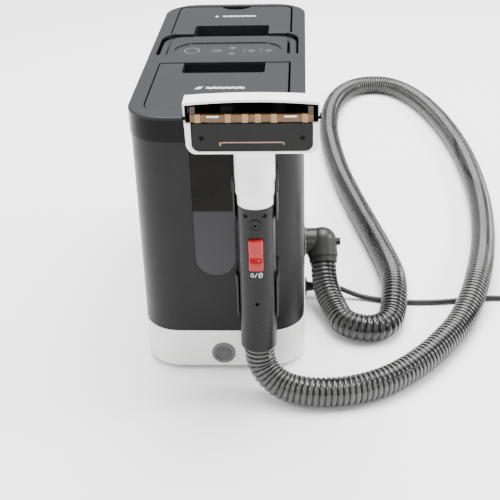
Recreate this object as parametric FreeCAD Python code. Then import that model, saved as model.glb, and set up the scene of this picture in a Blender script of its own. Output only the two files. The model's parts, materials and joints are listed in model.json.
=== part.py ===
"""Portable carpet cleaner: twin tank body, suction hose, docked wand with a wide nozzle, mains cord.

Machine parts are drawn with x = 0 at the middle of the body, y = 0 at its front face and z = 0 on
the floor, then set down by MACHINE_PLACE. The hose and the mains cord are given in the final frame.
"""
import FreeCAD, Part
import math
import os

V = FreeCAD.Vector
X_AXIS = V(1, 0, 0)
Y_AXIS = V(0, 1, 0)
Z_AXIS = V(0, 0, 1)

# ---- driving dimensions, millimetres -------------------------------------------------------
BODY_W = 200.0           # width of the top cover
BODY_D = 450.0           # depth of the top cover
BODY_H = 335.0           # height to the top of the cover
CORNER_R = 46.0          # plan corner radius
BASE_TOP = 57.5          # joint between the base pan and the housing
COVER_BOTTOM = 306.0     # joint between the housing and the top cover
STEP_IN = 1.5            # the housing sits inside the cover by this much
WALL = 2.6               # moulded wall thickness
GAP = 1.2                # visible gap round a lid
FIT = 0.3                # clearance between parts that slide past each other

WASTE_FRONT, WASTE_BACK = 19.5, 185.0
CLEAN_FRONT, CLEAN_BACK = 305.0, 438.0
LID_HALF_W = 82.0
RECESS_R = 4.5           # corners of the finger recesses
TANK_FLOOR = 63.0
TANK_TOP = 308.0
TANK_INSET, TANK_WALL = 2.5, 2.2
FLOAT_X, FLOAT_Y = -34.0, 62.0
FLOAT_LOW = 236.0        # underside of the float's cage

MOTOR_X, MOTOR_Y = -18.0, 244.0
BUTTON_X, BUTTON_Z = -0.5, 25.5
BUTTON_FRONT = -1.0

PANEL_FRONT, PANEL_BACK = 206.5, 265.0
PANEL_HALF_W = 69.0
PANEL_DROP = 1.2         # the touch panel lies this far below the deck
HANDLE_BACK = 309.0      # back wall of the groove that the carry handle lies in
HANDLE_BAR = 11.0
HANDLE_PIVOT_Y, HANDLE_PIVOT_Z = 225.0, 323.0

WAND_X, WAND_Y = 45.5, -40.0
WAND_R = 21.0
WAND_WALL = 2.5
WAND_BOTTOM, WAND_TOP = 68.0, 253.0
TRIGGER_BOTTOM, TRIGGER_TOP = 178.8, 218.2
PIN_Y, PIN_Z = -57.5, 213.5    # the trigger's pin
HALF_NOZZLE = 68.5
NOZZLE_BOTTOM, NOZZLE_TOP = 326.5, 385.0
NOZZLE_FRONT, NOZZLE_BACK = -80.0, -24.0
LIP_BACK = -60.0         # the nozzle is thin at its lip
CROWN_R = 690.0          # the lip is slightly arched
LIP = 2.4
RIM = 3.0                # white border below the nozzle's cover plate
TAB_X = 39.0             # the hood's two tabs that hold the spreader
RIB_PLACES = (-54.0, -23.5, -6.5, 6.5, 22.5, 53.5)
PLATE_SCREW_X, PLATE_SCREW_Z = 51.0, 344.2
NECK_R = 21.8
NECK_BOTTOM = 268.0
SPIGOT_R = 20.2

ELBOW = V(123, 190, 78)              # centre of the elbow's domed end
HOSE_OUT = V(0.05, -0.64, -0.77).normalize()  # direction in which the hose leaves the elbow
ELBOW_R = 20.0
CUFF_LENGTH = 30.0
ELBOW_REACH = 148.0                  # outermost point of the release tab

INLET = V(99.6, 172, 17)             # where the mains cord enters the base

LATCH_HEIGHT = 234.6     # the nozzle's release button
CRADLE_SCREW_HEIGHTS = (122.0, 152.0, 242.0, 272.0)

HOSE_D = 35.0
CORD_D = 7.0
COIL_CENTRE = V(431, -13, 0)
COIL_MEAN_R, COIL_BUNDLE = 42.0, 28.0

# The final frame's origin is the middle of the machine's footprint with the wand docked.
MACHINE_PLACE = V(-(ELBOW_REACH - BODY_W / 2) / 2, -(BODY_D + NOZZLE_FRONT) / 2, 0)

HOSE_ROUTE = [
    (100.5, -14.2, 54.9), (101.7, -29.5, 36.5), (108.0, -52.0, 24.5), (116.5, -76.0, 17.5),
    (124.0, -100.0, 17.5), (138.0, -113.0, 17.5), (155.0, -118.0, 17.5), (173.0, -114.0, 17.5),
    (185.0, -101.0, 17.5), (191.0, -83.0, 18.5), (195.0, -56.0, 25.0), (197.5, -20.0, 28.0),
    (197.0, 20.0, 22.0), (192.0, 65.0, 17.5), (182.0, 118.0, 17.5), (168.0, 185.0, 17.5),
    (150.0, 275.0, 17.5), (134.0, 370.0, 17.5), (124.0, 470.0, 17.5), (120.0, 560.0, 17.5),
    (126.0, 650.0, 17.5), (144.0, 730.0, 17.5), (178.0, 783.0, 17.5), (225.0, 799.0, 17.5),
    (268.0, 773.0, 17.5), (304.0, 705.0, 17.5), (332.0, 605.0, 17.5), (350.0, 490.0, 17.5),
    (358.0, 370.0, 17.5), (356.0, 250.0, 17.5), (345.0, 145.0, 17.5), (330.0, 65.0, 22.0),
    (316.0, 5.0, 28.0), (300.0, -50.0, 26.0), (278.0, -102.0, 17.5), (248.0, -150.0, 17.5),
    (213.0, -195.0, 17.5), (174.0, -229.0, 17.5), (138.0, -246.0, 17.5), (107.0, -252.5, 17.5),
    (77.0, -252.0, 17.5), (50.0, -244.0, 19.0), (31.0, -232.5, 30.0), (21.5, -225.0, 48.0),
    (21.5, -225.0, 73.0),
]
CORD_ROUTE = [
    (102.0, -13.0, 17.0), (117.0, -13.0, 17.0), (134.0, -16.0, 10.5), (153.0, -20.0, 4.5),
    (180.0, -27.0, 3.5), (216.0, -33.0, 3.5), (258.0, -32.0, 3.5), (302.0, -24.0, 3.5),
    (342.0, -19.0, 3.5), (378.0, -30.0, 3.5), (402.0, -48.0, 3.5), (422.0, -54.5, 3.5),
]
TAIL_ROUTE = [
    (485.5, 1.0, 24.5), (484.0, 28.0, 21.5), (470.0, 56.0, 15.5), (446.0, 73.0, 12.0), (424.0, 81.0, 11.0),
]
PLUG_FACE = V(424, 81, 11)
PLUG_TURN = 160.0        # direction in which the plug points, degrees from +X


# ---- drawing helpers -----------------------------------------------------------------------
def outline(corners, plane="xy", level=0.0):
    """A closed wire through corners (u, v, radius), each corner rounded by a tangent arc."""
    place = {
        "xy": lambda u, v: V(u, v, level),
        "xz": lambda u, v: V(u, level, v),
        "yz": lambda u, v: V(level, u, v),
    }[plane]
    arcs = []
    count = len(corners)
    for i, (u, v, radius) in enumerate(corners):
        here = V(u, v, 0)
        before = (V(*corners[i - 1][:2], 0) - here).normalize()
        after = (V(*corners[(i + 1) % count][:2], 0) - here).normalize()
        if radius <= 0:
            arcs.append((here, None, here))
            continue
        half = before.getAngle(after) / 2
        reach = radius / math.tan(half)
        middle_way = (before + after).normalize()
        centre = here + middle_way * (radius / math.sin(half))
        arcs.append((here + before * reach, centre - middle_way * radius, here + after * reach))
    edges = []
    for i, (start, middle, end) in enumerate(arcs):
        if middle is not None:
            edges.append(Part.Arc(place(*start[:2]), place(*middle[:2]), place(*end[:2])).toShape())
        following = arcs[(i + 1) % count][0]
        if (following - end).Length > 1e-6:
            edges.append(Part.makeLine(place(*end[:2]), place(*following[:2])))
    return Part.Wire(Part.__sortEdges__(edges))


def rect(x0, x1, y0, y1, radius=0.0, back_radius=None):
    """Corners of a rectangle; the radius at the y1 side can differ."""
    far = radius if back_radius is None else back_radius
    return [(x0, y0, radius), (x1, y0, radius), (x1, y1, far), (x0, y1, far)]


def prism(corners, low, high, plane="xy"):
    """The outline pushed from low to high along the axis that its plane leaves out."""
    way = {"xy": Z_AXIS, "xz": Y_AXIS, "yz": X_AXIS}[plane]
    return Part.Face(outline(corners, plane, low)).extrude(way * (high - low))


def block(x0, x1, y0, y1, z0, z1):
    return Part.makeBox(x1 - x0, y1 - y0, z1 - z0, V(x0, y0, z0))


def rod(start, radius, length, axis=Z_AXIS):
    return Part.makeCylinder(radius, length, start, axis)


def ring(start, outer, inner, length, axis=Z_AXIS):
    """A tube from start along axis."""
    unit = V(axis).normalize()
    core = rod(start - unit, inner, length + 2, axis)
    return rod(start, outer, length, axis).cut(core)


def body_plan(inset):
    """The machine's rounded plan, pulled in by inset."""
    half = BODY_W / 2 - inset
    return rect(-half, half, inset, BODY_D - inset, CORNER_R - inset)


def edges_at_z(shape, z):
    return [e for e in shape.Edges if all(abs(p.Point.z - z) < 0.01 for p in e.Vertexes)]


def screw(head_centre, axis, head_r=3.0, shank_r=1.5, length=10.0):
    """A cross-head screw whose head faces back along axis."""
    unit = V(axis).normalize()
    head = rod(head_centre, head_r, 2.0, unit)
    shank = rod(head_centre + unit * 2.0, shank_r, length, unit)
    side = unit.cross(V(0.3, 0.5, 0.81)).normalize()
    up = unit.cross(side)
    made = head.fuse(shank)
    for arm in (side, up):
        across = unit.cross(arm)
        half, width = head_r * 0.65, 0.45
        points = [arm * half + across * width, arm * -half + across * width,
                  arm * -half - across * width, arm * half - across * width]
        face = Part.Face(Part.makePolygon([head_centre - unit * 0.1 + p for p in points + points[:1]]))
        made = made.cut(face.extrude(unit * 1.2))
    return made


def helix_spring(start, radius, wire_r, height, turns, axis=Z_AXIS):
    """A compression spring drawn as stacked rings joined by a thin side post."""
    pitch = height / turns
    rings = [Part.makeTorus(radius, wire_r, start + V(axis) * (pitch * (i + 0.5)), axis)
             for i in range(turns)]
    side = V(axis).cross(V(0.3, 0.5, 0.81)).normalize() * radius
    post = rod(start + side, wire_r, height, axis)
    made = post
    for one in rings:
        made = made.fuse(one)
    return made


def rounded_path(points):
    """Straight runs joined by tangent arcs; returns the wire and the arcs' radii."""
    points = [V(*p) for p in points]
    edges, radii = [], []
    here = points[0]
    for before, corner, after in zip(points, points[1:], points[2:]):
        back, ahead = before - corner, after - corner
        shorter = min(back.Length, ahead.Length)
        turn = math.pi - back.getAngle(ahead)
        reach = 0.45 * shorter
        radius = reach / math.tan(turn / 2)
        back.normalize()
        ahead.normalize()
        start, end = corner + back * reach, corner + ahead * reach
        inward = (back + ahead).normalize()
        middle = corner + inward * (radius / math.cos(turn / 2) - radius)
        edges.append(Part.makeLine(here, start))
        edges.append(Part.Arc(start, middle, end).toShape())
        radii.append(radius)
        here = end
    edges.append(Part.makeLine(here, points[-1]))
    return Part.Wire(edges), radii


def cord_tube(name, route, diameter):
    """The plain solid of a cord or hose along its route."""
    path, radii = rounded_path(route)
    first = V(*route[1]) - V(*route[0])
    profile = Part.Wire(Part.makeCircle(diameter / 2, V(*route[0]), first))
    tube = path.makePipeShell([profile], True, False)
    expected = math.pi * diameter ** 2 / 4 * path.Length
    print(f"{name}: length {path.Length:.0f} mm, volume / (section x length) {tube.Volume / expected:.4f}")
    print("   radii", " ".join(f"{r:.0f}" for r in radii))
    return tube


# ---- body shells ---------------------------------------------------------------------------
def base_pan():
    bottom = 3.0
    shell = prism(body_plan(0.5), bottom, BASE_TOP)
    shell = shell.makeFillet(7.0, edges_at_z(shell, bottom))
    shell = shell.cut(prism(body_plan(0.5 + WALL), bottom + WALL, BASE_TOP + 1))
    shell = shell.cut(rod(V(BUTTON_X, -1, BUTTON_Z), 14.6, 6, Y_AXIS))
    shell = shell.cut(rod(INLET - X_AXIS * 5.6, 8.0, 8, X_AXIS))
    for x, y in foot_places():
        shell = shell.cut(rod(V(x, y, bottom - 1), 4.0, 2.2))
    for row in range(6):
        slot_z = 18.0 + row * 5.0
        shell = shell.cut(block(-45, 45, BODY_D - 5, BODY_D + 1, slot_z, slot_z + 2.2))
    return shell


def foot_places():
    return [(side * 66.0, y) for side in (-1, 1) for y in (46.0, BODY_D - 46.0)]


def rubber_feet():
    feet = []
    for x, y in foot_places():
        pad = rod(V(x, y, 0), 11.0, 3.0)
        pad = pad.makeFillet(1.0, edges_at_z(pad, 0))
        feet.append(pad.fuse(rod(V(x, y, 3.0), 3.8, 1.0)))
    return Part.makeCompound(feet)


def base_screws():
    places = [(x, y) for x in (-72.0, 72.0) for y in (150.0, 300.0)]
    return Part.makeCompound([screw(V(x, y, 5.7), Z_AXIS, 3.5, 1.8, 12) for x, y in places])


def housing():
    shell = prism(body_plan(STEP_IN), BASE_TOP, COVER_BOTTOM)
    shell = shell.cut(prism(body_plan(STEP_IN + WALL), BASE_TOP - 1, COVER_BOTTOM + 1))
    shell = shell.cut(window_shape(24.0, 135.0, STEP_IN - 1, STEP_IN + WALL + 1, COVER_BOTTOM + 1))
    port = rod(V(92, ELBOW.y, ELBOW.z), 17.5, 12, X_AXIS)
    for z in CRADLE_SCREW_HEIGHTS:
        shell = shell.cut(rod(V(WAND_X, -1, z), 1.5, 8, Y_AXIS))
    return shell.cut(port)


def window_shape(half_w, bottom, y0, y1, top):
    """A tall slot with a half-round lower end, standing at the front face."""
    corners = [(-5 - half_w, bottom, half_w - 0.01), (-5 + half_w, bottom, half_w - 0.01),
               (-5 + half_w, top, 0), (-5 - half_w, top, 0)]
    return prism(corners, y0, y1, "xz")


def window():
    pane = window_shape(23.9, 135.1, STEP_IN + 0.2, STEP_IN + WALL, COVER_BOTTOM - 0.3)
    flange = window_shape(27.0, 132.0, STEP_IN + WALL, STEP_IN + WALL + 1.4, COVER_BOTTOM - 0.3)
    return pane.fuse(flange)


def top_cover():
    cover = prism(body_plan(0), COVER_BOTTOM, BODY_H)
    cover = cover.makeFillet(2.2, edges_at_z(cover, BODY_H))
    hollow = prism(body_plan(3.0), COVER_BOTTOM - 1, BODY_H - 4)
    cover = cover.cut(hollow)
    island = block(-96.5, 96.5, 186.5, 303.5, 312, BODY_H - 4)
    cover = cover.fuse(island)
    cover = cover.cut(prism(rect(-LID_HALF_W, LID_HALF_W, WASTE_FRONT, WASTE_BACK, 24, 3), 300, 340))
    cover = cover.cut(prism(rect(-LID_HALF_W, LID_HALF_W, CLEAN_FRONT, CLEAN_BACK, 3, 15), 300, 340))
    cover = cover.cut(handle_groove())
    return cover.cut(panel_shape(0.0, BODY_H - PANEL_DROP - 1.5, BODY_H + 1))


def panel_shape(inset, low, high):
    """The touch panel's outline, a rectangle with fully round ends."""
    half_depth = (PANEL_BACK - PANEL_FRONT) / 2
    corners = rect(-PANEL_HALF_W + inset, PANEL_HALF_W - inset, PANEL_FRONT + inset, PANEL_BACK - inset,
                   half_depth - inset - 0.05)
    return prism(corners, low, high)


def handle_groove():
    outer = prism(rect(-91, 91, 216, HANDLE_BACK - 0.5, 0.5, 30), 317, BODY_H + 1)
    inner = prism(rect(-76.5, 76.5, 210, 288.5, 0.5, 18), 316, BODY_H + 2)
    return outer.cut(inner)


def carry_handle():
    """A flat bail: two legs and a cross bar, lying in its groove."""
    half = HANDLE_BAR / 2
    outer = rect(-84 - half, 84 + half, 218, 305.5, 0.5, 28)
    inner = rect(-84 + half, 84 - half, 210, 305.5 - HANDLE_BAR - 2.5, 0.5, 18)
    low, high = 318.5, 331.5
    bail = prism(outer, low, high).cut(prism(inner, low - 1, high + 1))
    bail = bail.makeFillet(3.2, edges_at_z(bail, high))
    pin_hole = rod(V(-100, HANDLE_PIVOT_Y, HANDLE_PIVOT_Z), 2.05, 200, X_AXIS)
    rounding = block(-92, 92, 210, HANDLE_PIVOT_Y, low - 1, high + 1)
    nose = rod(V(-92, HANDLE_PIVOT_Y, 325), 5.3, 184, X_AXIS)
    bail = bail.cut(rounding.cut(nose))
    return bail.cut(pin_hole)


def handle_pins():
    return Part.makeCompound([rod(V(x, HANDLE_PIVOT_Y, HANDLE_PIVOT_Z), 2.0, 23, X_AXIS)
                              for x in (-95.0, 72.0)])


def cover_with_pin_seats():
    cover = top_cover()
    for x in (-95.0, 72.0):
        cover = cover.cut(rod(V(x, HANDLE_PIVOT_Y, HANDLE_PIVOT_Z), 2.0, 23, X_AXIS))
    return cover


def touch_panel():
    return panel_shape(0.2, BODY_H - PANEL_DROP - 1.5, BODY_H - PANEL_DROP)


def control_board():
    board = block(-62, 62, 198, 272, 306, 307.6)
    for i, x in enumerate((-44.0, -18.0, 6.0, 31.0, 50.0)):
        board = board.fuse(block(x - 4, x + 4, 232, 240, 307.6, 310.5 - 0.2 * i))
    return board


def inner_frame():
    frame = prism(body_plan(STEP_IN + WALL + FIT), BASE_TOP, BASE_TOP + 3)
    for y in (187.5, 300.5):
        frame = frame.fuse(block(-94, 81, y - 1.5, y + 1.5, BASE_TOP + 3, COVER_BOTTOM - 0.5))
    motor_opening = rod(V(0, 244, BASE_TOP - 1), 30.0, 5)
    return frame.cut(motor_opening)


# ---- tanks ---------------------------------------------------------------------------------
def tank(front, back, radius, back_radius):
    """An open-topped tank with straight walls and a flat floor."""
    half = LID_HALF_W - TANK_INSET
    outer = rect(-half, half, front + TANK_INSET, back - TANK_INSET, radius, back_radius)
    inner = rect(-half + TANK_WALL, half - TANK_WALL, front + TANK_INSET + TANK_WALL,
                 back - TANK_INSET - TANK_WALL, max(radius - TANK_WALL, 0.8), max(back_radius - TANK_WALL, 0.8))
    shell = prism(outer, TANK_FLOOR, TANK_TOP)
    shell = shell.makeFillet(2.0, edges_at_z(shell, TANK_FLOOR))
    return shell.cut(prism(inner, TANK_FLOOR + TANK_WALL, TANK_TOP + 1))


def lid(front, back, radius, back_radius, recess_front, recess_back, recess_radius):
    """A tank lid: a top plate with a deep skirt and a finger recess let into it."""
    left, right = -LID_HALF_W + GAP, LID_HALF_W - 2 * GAP
    low, high = TANK_TOP + 1.5, BODY_H - 0.6
    outer = rect(left, right, front + GAP, back - GAP, radius - GAP, back_radius - GAP)
    made = prism(outer, low, high)
    made = made.makeFillet(0.8, edges_at_z(made, high))
    inner = rect(left + WALL, right - WALL, front + GAP + WALL, back - GAP - WALL,
                 radius - GAP - WALL, max(back_radius - GAP - WALL, 0.8))
    made = made.cut(prism(inner, low - 1, high - WALL))
    well = rect(-53, 53, recess_front - 3, recess_back + 3, 6)
    made = made.fuse(prism(well, high - 21, high - 1).common(prism(outer, low, high)))
    pocket = rect(-50.5, 50.5, recess_front, recess_back, *recess_radius)
    return made.cut(prism(pocket, high - 18, high + 1))


def waste_lid():
    return lid(WASTE_FRONT, WASTE_BACK, 24, 3, 147, 190, (RECESS_R, 0.5))


def clean_lid():
    made = lid(CLEAN_FRONT, CLEAN_BACK, 3, 15, 300, 343, (0.5, RECESS_R))
    notch = rod(V(0, CLEAN_BACK + 6.5, BODY_H - 4.5), 23.1, 8)
    return made.cut(notch)


def lid_seal(front, back, radius, back_radius):
    """A flat gasket between a lid's skirt and its tank's rim."""
    outer = rect(-LID_HALF_W + 2.6, LID_HALF_W - 2.9, front + 2.6, back - 2.6, radius, back_radius)
    inner = rect(-LID_HALF_W + 6, LID_HALF_W - 6, front + 6, back - 6,
                 max(radius - 3.4, 0.8), max(back_radius - 3.4, 0.8))
    return prism(outer, TANK_TOP + 0.1, TANK_TOP + 1.5).cut(prism(inner, TANK_TOP, TANK_TOP + 2))


def float_cage():
    """The cage under the waste lid that guides the shut-off float."""
    axis = V(FLOAT_X, FLOAT_Y, FLOAT_LOW)
    cage = ring(axis, 21.0, 19.0, BODY_H - 3.2 - FLOAT_LOW)
    for angle in range(0, 360, 60):
        slot = block(12, 24, -6, 6, 4, 44)
        slot.rotate(V(0, 0, 0), Z_AXIS, angle)
        slot.translate(axis)
        cage = cage.cut(slot)
    floor = rod(axis, 21.0, 2.0).cut(rod(axis - Z_AXIS, 9.0, 4.0))
    return cage.fuse(floor)


def float_ball():
    low, height = FLOAT_LOW + 2.2, 26.0
    body = rod(V(FLOAT_X, FLOAT_Y, low), 17.5, height)
    return body.makeFillet(5.0, edges_at_z(body, low) + edges_at_z(body, low + height))


def clean_tank_valve():
    """The spring-loaded outlet valve in the clean tank's floor, drawn as body and stem."""
    base = V(40, 372, TANK_FLOOR + TANK_WALL)
    return rod(base, 9.0, 3.0).fuse(rod(base + Z_AXIS * 3.0, 5.0, 9.0))


def waste_inlet_pipe():
    """The rigid riser that carries dirty water from the hose port up behind the waste tank."""
    left, right, thin = 82.6, 93.0, 1.4
    foot = block(left, right, 172, 224, BASE_TOP + 3.2, 96)
    riser = block(left, right, 194, 224, 96, 304)
    foot_hollow = block(left + thin, right - thin, 172 + thin, 224 - thin, BASE_TOP + 3.2 + thin, 96)
    riser_hollow = block(left + thin, right - thin, 194 + thin, 224 - thin, 90, 305)
    duct = foot.cut(foot_hollow.cut(block(left, right, 172, 194 + thin, 96 - thin, 97)))
    duct = duct.fuse(riser).cut(riser_hollow)
    return duct.cut(rod(V(right - 3, ELBOW.y, ELBOW.z), 13.0, 4, X_AXIS))


# ---- motor and pump ------------------------------------------------------------------------
def fan_housing():
    low = V(MOTOR_X, MOTOR_Y, 66)
    shell = rod(low, 50.0, 36).cut(rod(low + Z_AXIS * 2.5, 47.5, 31))
    shell = shell.cut(rod(low - Z_AXIS, 17.0, 6))
    return shell.cut(rod(low + Z_AXIS * 30, 8.0, 10))


def impeller():
    hub = rod(V(MOTOR_X, MOTOR_Y, 72), 10.0, 22)
    disc = rod(V(MOTOR_X, MOTOR_Y, 92), 44.0, 2)
    made = hub.fuse(disc)
    for angle in range(0, 360, 40):
        blade = block(8, 43, -0.9, 0.9, 74, 92.5)
        blade.rotate(V(0, 0, 0), Z_AXIS, angle)
        blade.translate(V(MOTOR_X, MOTOR_Y, 0))
        made = made.fuse(blade)
    return made.cut(rod(V(MOTOR_X, MOTOR_Y, 70), 4.0, 30))


def motor_case():
    low = V(MOTOR_X, MOTOR_Y, 104)
    can = rod(low, 42.0, 96).cut(rod(low + Z_AXIS * 3, 39.5, 90))
    for z in (103, 196):
        can = can.cut(rod(V(MOTOR_X, MOTOR_Y, z), 11.0, 6))
    return can


def motor_bearings():
    return Part.makeCompound([ring(V(MOTOR_X, MOTOR_Y, z), 11.0, 4.05, 6) for z in (103.0, 195.0)])


def motor_rotor():
    shaft = rod(V(MOTOR_X, MOTOR_Y, 68), 4.0, 140)
    core = rod(V(MOTOR_X, MOTOR_Y, 120), 24.0, 56)
    commutator = rod(V(MOTOR_X, MOTOR_Y, 178), 13.0, 12)
    return shaft.fuse(core).fuse(commutator)


def motor_stator():
    return ring(V(MOTOR_X, MOTOR_Y, 118), 39.4, 26.0, 60)


def water_pump():
    pump = block(58, 92, 246, 284, 66, 92)
    pump = pump.fuse(rod(V(75, 265, 92), 15.0, 46))
    return pump.fuse(rod(V(75, 265, 138), 5.0, 12))


# ---- base button ---------------------------------------------------------------------------
def button_bezel():
    start = V(BUTTON_X, -1.6, BUTTON_Z)
    bezel = ring(start, 14.5, 10.0, 8.0, Y_AXIS)
    rim = [e for e in bezel.Edges if all(abs(p.Point.y + 1.6) < 0.01 for p in e.Vertexes)]
    return bezel.makeFillet(1.0, rim)


def base_button():
    front = V(BUTTON_X, BUTTON_FRONT, BUTTON_Z)
    cap = rod(front, 9.7, 8.0, Y_AXIS)
    for radius in (4.4, 7.4):
        cap = cap.cut(ring(front - Y_AXIS * 0.4, radius + 0.4, radius, 0.9, Y_AXIS))
    return cap.fuse(rod(front + Y_AXIS * 8.0, 3.0, 6.0, Y_AXIS))


def button_switch():
    return block(BUTTON_X - 10, BUTTON_X + 10, 17, 27, BUTTON_Z - 7, BUTTON_Z + 7)


# ---- wand cradle ---------------------------------------------------------------------------
def cradle(bottom, top, bore_r, half):
    """A U-shaped clip on the front face that the wand stands in."""
    clip = prism(rect(WAND_X - half, WAND_X + half, -47.0, STEP_IN, 1.6, 6.0), bottom, top)
    for side in (-1, 1):
        ear_x = WAND_X + side * (half + 0.2)
        ear = prism(rect(ear_x - 0.8, ear_x + 0.8, -46.5, -38.0, 0.7), top - 12, top + 2.5)
        clip = clip.fuse(ear)
    bore = rod(V(WAND_X, WAND_Y, bottom - 1), bore_r, top - bottom + 6)
    mouth = block(WAND_X - bore_r, WAND_X + bore_r, -60, WAND_Y, bottom - 1, top + 5)
    return clip.cut(bore).cut(mouth)


def upper_cradle():
    return cradle(234.0, 280.0, NECK_R + 0.5, 24.2)


def lower_cradle():
    return cradle(110.0, 164.0, WAND_R + 0.5, 23.6)


def cradle_screws():
    return Part.makeCompound([screw(V(WAND_X, -17.5, z), Y_AXIS, 3.0, 1.5, 20)
                              for z in CRADLE_SCREW_HEIGHTS])


def cradle_with_screw_seats(made, heights):
    for z in heights:
        made = made.cut(rod(V(WAND_X, -25, z), 3.0, 9.5, Y_AXIS))
        made = made.cut(rod(V(WAND_X, -16, z), 1.5, 20, Y_AXIS))
    return made


# ---- wand ----------------------------------------------------------------------------------
def wand_tube():
    """The wand's round shell with a domed lower rim."""
    start = V(WAND_X, WAND_Y, WAND_BOTTOM)
    outer = rod(start, WAND_R, WAND_TOP - WAND_BOTTOM)
    outer = outer.makeFillet(2.4, edges_at_z(outer, WAND_BOTTOM))
    return outer.cut(rod(start - Z_AXIS, WAND_R - WAND_WALL, WAND_TOP - WAND_BOTTOM + 2))


def front_half():
    return block(WAND_X - 40, WAND_X + 40, -90, WAND_Y, 0, 400)


def wand_front_shell():
    shell = wand_tube().common(front_half())
    slot = prism(rect(WAND_X - 8.6, WAND_X + 8.6, TRIGGER_BOTTOM - 0.6, TRIGGER_TOP + 0.6, 2.8),
                 -66, -50, "xz")
    shell = shell.cut(slot)
    shell = shell.cut(rod(V(WAND_X, -66, LATCH_HEIGHT), 5.0, 16, Y_AXIS))
    collar = ring(V(WAND_X, -62.2, LATCH_HEIGHT), 7.0, 5.0, 6, Y_AXIS)
    outside = rod(V(WAND_X, WAND_Y, 200), WAND_R - WAND_WALL, 60)
    shell = shell.fuse(collar.cut(outside))
    shell = shell.cut(rod(V(WAND_X, -66, 134.7), 2.2, 10, Y_AXIS))
    for x in (WAND_X - 10.5, WAND_X + 10.5):
        shell = shell.cut(rod(V(x, -66, 245.2), 2.45, 10.4, Y_AXIS))
        shell = shell.cut(rod(V(x, -66, 245.2), 1.3, 16, Y_AXIS))
    shell = shell.cut(rod(V(WAND_X - 11, PIN_Y, PIN_Z), 1.5, 22, X_AXIS))
    return shell


def wand_back_shell():
    return wand_tube().cut(front_half())


def wand_suction_pipe():
    """The wand's own pipe; its lower flange closes the hose's end."""
    pipe_y, low = -35.5, 73.2
    pipe = rod(V(WAND_X, pipe_y, low + 1), 12.4, 145.0)
    flange = rod(V(WAND_X, WAND_Y, low), WAND_R - WAND_WALL - 0.1, 3.0)
    return pipe.fuse(flange).cut(rod(V(WAND_X, pipe_y, low - 1), 11.0, 160.0))


def trigger():
    profile = [(-64.0, TRIGGER_TOP, 2.5), (-55.0, TRIGGER_TOP, 1.0), (-55.0, TRIGGER_BOTTOM, 1.0),
               (-64.0, TRIGGER_BOTTOM, 2.5), (-61.6, 195.5, 14.0)]
    made = prism(profile, WAND_X - 8.2, WAND_X + 8.2, "yz")
    face = prism(rect(WAND_X - 8.2, WAND_X + 8.2, TRIGGER_BOTTOM, TRIGGER_TOP, 2.8), -70, -50, "xz")
    return made.common(face).cut(rod(V(WAND_X - 10, PIN_Y, PIN_Z), 1.55, 20, X_AXIS))


def trigger_pin():
    return rod(V(WAND_X - 10.8, PIN_Y, PIN_Z), 1.5, 21.6, X_AXIS)


def trigger_valve():
    """The small water valve that the trigger leans on."""
    return block(WAND_X - 6, WAND_X + 6, -50.9, -48.2, 182, 200)


def nozzle_button():
    made = rod(V(WAND_X, -61.6, LATCH_HEIGHT), 4.7, 3.4, Y_AXIS)
    return made.cut(rod(V(WAND_X, -62, LATCH_HEIGHT), 1.6, 2.4, Y_AXIS))


def wand_screws():
    return Part.makeCompound([screw(V(x, -57.6, 245.2), Y_AXIS, 2.4, 1.3, 2.2)
                              for x in (WAND_X - 10.5, WAND_X + 10.5)])


# ---- nozzle --------------------------------------------------------------------------------
def nozzle_back_y(z, inset=0.0):
    """The hood's sloping back at height z."""
    low_z, high_z = NOZZLE_BOTTOM + 6, NOZZLE_TOP + 2
    return NOZZLE_BACK - inset + (LIP_BACK - NOZZLE_BACK) * (z - low_z) / (high_z - low_z)


def side_block(side, near, far, y0, y1, z0, z1):
    """A block at one side of the nozzle, near and far measured from its middle."""
    x0, x1 = sorted((WAND_X + side * near, WAND_X + side * far))
    return block(x0, x1, y0, y1, z0, z1)


def crown(drop):
    """The arched top of the nozzle as a long cylinder across the machine's depth."""
    return rod(V(WAND_X, -120, NOZZLE_TOP - drop - CROWN_R), CROWN_R, 120, Y_AXIS)


def hood_outside():
    left, right = WAND_X - HALF_NOZZLE, WAND_X + HALF_NOZZLE
    top = NOZZLE_TOP + 2
    side = prism([(NOZZLE_FRONT, NOZZLE_BOTTOM, 1.5), (NOZZLE_BACK, NOZZLE_BOTTOM + 6, 10.0),
                  (LIP_BACK, top, 0), (NOZZLE_FRONT, top, 0)], left, right, "yz")
    front = prism([(left + 2, NOZZLE_BOTTOM, 12.0), (right - 2, NOZZLE_BOTTOM, 12.0),
                   (right, top, 0), (left, top, 0)], NOZZLE_FRONT - 1, NOZZLE_BACK + 8, "xz")
    return side.common(front).common(crown(0.0))


def hood_cavity():
    """The recess for the plate and the mouth above it, open to the front."""
    left, right = WAND_X - HALF_NOZZLE, WAND_X + HALF_NOZZLE
    seat_left, seat_right = WAND_X - 61.5, WAND_X + 61.5
    seat = prism(rect(seat_left, seat_right, NOZZLE_BOTTOM + RIM, 361.0, 8.3, 0.0), -95, -20, "xz")
    mouth = prism(rect(left + 1.8, right - 1.8, 360.2, NOZZLE_TOP + 2), -95, -20, "xz")
    mouth = mouth.common(crown(LIP))
    side = prism([(-95, NOZZLE_BOTTOM + 1, 0), (-58, NOZZLE_BOTTOM + 1, 0),
                  (nozzle_back_y(NOZZLE_BOTTOM + 8, 4.0), NOZZLE_BOTTOM + 8, 0),
                  (nozzle_back_y(NOZZLE_TOP, 4.0), NOZZLE_TOP, 0), (-95, NOZZLE_TOP, 0)],
                 left - 1, right + 1, "yz")
    return seat.fuse(mouth).common(side)


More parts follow.
